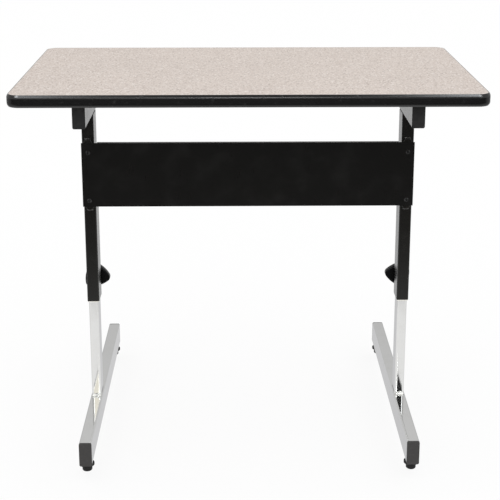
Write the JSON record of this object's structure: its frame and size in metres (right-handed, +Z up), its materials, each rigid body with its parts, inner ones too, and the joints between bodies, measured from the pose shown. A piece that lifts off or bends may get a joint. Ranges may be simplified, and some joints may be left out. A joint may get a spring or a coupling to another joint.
{
  "type": "height-adjustable utility table",
  "caption": "Rectangular laminate table on two T-shaped legs whose chromed posts slide in black sleeves, held by clamp knobs, with a modesty panel and levelling glides.",
  "frame": {"origin": "on the floor, midway between the two feet and midway along their length", "axes": "+X along the worktop's width, +Y from the modesty panel towards the user, +Z up"},
  "size_m": [0.914, 0.63, 0.761],
  "materials": {
    "laminate": "finely speckled warm grey laminate, low sheen",
    "core_board": "particle board",
    "backer": "dark brown backer sheet, matt",
    "edge_vinyl": "black vinyl, satin",
    "black_powder_coat": "black powder coat, satin",
    "chrome": "bright plated tube",
    "zinc_steel": "zinc plated",
    "black_screw": "black oxide",
    "nylon": "natural nylon",
    "cap_plastic": "dark grey moulded plastic",
    "black_plastic": "black moulded plastic, fine texture"
  },
  "bodies": {
    "upper_frame": {"edge_band": "edge_vinyl", "left_arm_front_cap": "black_plastic", "left_arm_rear_cap": "black_plastic", "left_clamp_nut": "zinc_steel", "left_panel_bracket": "black_powder_coat", "left_sleeve": "black_powder_coat", "left_sleeve_guide": "nylon", "left_top_arm": "black_powder_coat", "modesty_panel": "black_powder_coat", "panel_screws": "black_screw", "right_arm_front_cap": "black_plastic", "right_arm_rear_cap": "black_plastic", "right_clamp_nut": "zinc_steel", "right_panel_bracket": "black_powder_coat", "right_sleeve": "black_powder_coat", "right_sleeve_guide": "nylon", "right_top_arm": "black_powder_coat", "tabletop_backer": "backer", "tabletop_core": "core_board", "tabletop_laminate": "laminate", "tabletop_screws": "zinc_steel"},
    "left_leg": {"left_foot": "chrome", "left_foot_front_cap": "cap_plastic", "left_foot_rear_cap": "cap_plastic", "left_glide_nuts": "zinc_steel", "left_post": "chrome", "left_post_plug": "nylon", "left_post_welds": "chrome"},
    "right_leg": {"right_foot": "chrome", "right_foot_front_cap": "cap_plastic", "right_foot_rear_cap": "cap_plastic", "right_glide_nuts": "zinc_steel", "right_post": "chrome", "right_post_plug": "nylon", "right_post_welds": "chrome"},
    "left_clamp_knob": {"left_clamp_knob": "black_plastic", "left_clamp_screw": "zinc_steel"},
    "left_clamp_pad": {"left_clamp_pad": "nylon"},
    "left_front_glide_pad": {"left_front_glide_pad": "black_plastic"},
    "left_front_glide_stud": {"left_front_glide_stud": "zinc_steel"},
    "left_rear_glide_pad": {"left_rear_glide_pad": "black_plastic"},
    "left_rear_glide_stud": {"left_rear_glide_stud": "zinc_steel"},
    "right_clamp_knob": {"right_clamp_knob": "black_plastic", "right_clamp_screw": "zinc_steel"},
    "right_clamp_pad": {"right_clamp_pad": "nylon"},
    "right_front_glide_pad": {"right_front_glide_pad": "black_plastic"},
    "right_front_glide_stud": {"right_front_glide_stud": "zinc_steel"},
    "right_rear_glide_pad": {"right_rear_glide_pad": "black_plastic"},
    "right_rear_glide_stud": {"right_rear_glide_stud": "zinc_steel"}
  },
  "joints": [
    {"name": "left_height", "type": "slide", "parent": "left_leg", "child": "upper_frame", "axis": [0, 0, 1], "range_m": [-0.172, 0.057]},
    {"name": "right_height", "type": "slide", "parent": "upper_frame", "child": "right_leg", "axis": [0, 0, 1], "range_m": [-0.057, 0.172]},
    {"name": "left_clamp_travel", "type": "slide", "parent": "upper_frame", "child": "left_clamp_pad", "axis": [0, 1, 0], "range_m": [0, 0.0025]},
    {"name": "left_clamp_turn", "type": "hinge", "parent": "left_clamp_pad", "child": "left_clamp_knob", "pos_m": [-0.325, -0.0465, 0.319], "axis": [0, 1, 0], "range_deg": [0, 720]},
    {"name": "left_front_glide_travel", "type": "slide", "parent": "left_leg", "child": "left_front_glide_stud", "axis": [0, 0, -1], "range_m": [0, 0.012]},
    {"name": "left_front_glide_turn", "type": "hinge", "parent": "left_front_glide_stud", "child": "left_front_glide_pad", "pos_m": [-0.325, -0.289, 0.017], "axis": [0, 0, -1], "range_deg": [0, 3456]},
    {"name": "left_rear_glide_travel", "type": "slide", "parent": "left_leg", "child": "left_rear_glide_stud", "axis": [0, 0, -1], "range_m": [0, 0.012]},
    {"name": "left_rear_glide_turn", "type": "hinge", "parent": "left_rear_glide_stud", "child": "left_rear_glide_pad", "pos_m": [-0.325, 0.289, 0.017], "axis": [0, 0, -1], "range_deg": [0, 3456]},
    {"name": "right_clamp_travel", "type": "slide", "parent": "upper_frame", "child": "right_clamp_pad", "axis": [0, 1, 0], "range_m": [0, 0.0025]},
    {"name": "right_clamp_turn", "type": "hinge", "parent": "right_clamp_pad", "child": "right_clamp_knob", "pos_m": [0.325, -0.0465, 0.319], "axis": [0, 1, 0], "range_deg": [0, 720]},
    {"name": "right_front_glide_travel", "type": "slide", "parent": "right_leg", "child": "right_front_glide_stud", "axis": [0, 0, -1], "range_m": [0, 0.012]},
    {"name": "right_front_glide_turn", "type": "hinge", "parent": "right_front_glide_stud", "child": "right_front_glide_pad", "pos_m": [0.325, -0.289, 0.017], "axis": [0, 0, -1], "range_deg": [0, 3456]},
    {"name": "right_rear_glide_travel", "type": "slide", "parent": "right_leg", "child": "right_rear_glide_stud", "axis": [0, 0, -1], "range_m": [0, 0.012]},
    {"name": "right_rear_glide_turn", "type": "hinge", "parent": "right_rear_glide_stud", "child": "right_rear_glide_pad", "pos_m": [0.325, 0.289, 0.017], "axis": [0, 0, -1], "range_deg": [0, 3456]}
  ],
  "couplings": [
    {"joint": "right_height", "follows": "left_height", "ratio": -1},
    {"joint": "left_clamp_travel", "follows": "left_clamp_turn", "m_per_rad": 0.00019894},
    {"joint": "left_front_glide_travel", "follows": "left_front_glide_turn", "m_per_rad": 0.00019894},
    {"joint": "left_rear_glide_travel", "follows": "left_rear_glide_turn", "m_per_rad": 0.00019894},
    {"joint": "right_clamp_travel", "follows": "right_clamp_turn", "m_per_rad": 0.00019894},
    {"joint": "right_front_glide_travel", "follows": "right_front_glide_turn", "m_per_rad": 0.00019894},
    {"joint": "right_rear_glide_travel", "follows": "right_rear_glide_turn", "m_per_rad": 0.00019894}
  ]
}
